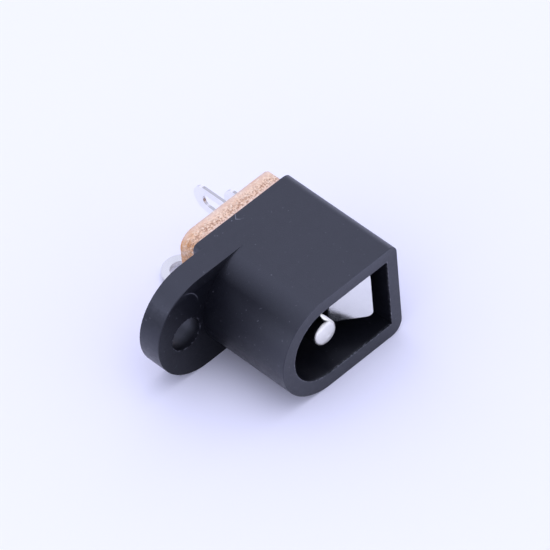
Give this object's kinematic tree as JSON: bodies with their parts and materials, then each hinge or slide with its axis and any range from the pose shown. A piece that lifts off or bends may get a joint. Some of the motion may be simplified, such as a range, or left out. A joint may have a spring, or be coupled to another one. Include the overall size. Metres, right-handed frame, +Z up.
{
  "type": "dc barrel jack",
  "caption": "Panel-mount jack for a round low-voltage plug: D-shaped moulded barrel with a screw ear, riveted centre pin, sleeve spring, insulating board and solder lugs.",
  "frame": {"origin": "on the centre pin's axis, at the front face of the pin's shoulder, where a plug's tip stops", "axes": "+X towards the barrel's flat side, +Y towards the solder lugs, +Z up; the mouth faces -Y"},
  "size_m": [0.0164, 0.0178, 0.009],
  "materials": {
    "housing_plastic": "black moulded plastic with a satin skin",
    "board_laminate": "tan paper laminate with a speckled punched edge",
    "pin_plate": "bright nickel plate on turned brass",
    "contact_plate": "satin tin plate on sheet brass"
  },
  "bodies": {
    "root": {"housing": "housing_plastic", "back_board": "board_laminate", "centre_pin": "pin_plate", "pin_terminal": "contact_plate", "sleeve_spring": "contact_plate", "switch_contact": "contact_plate"}
  },
  "joints": []
}
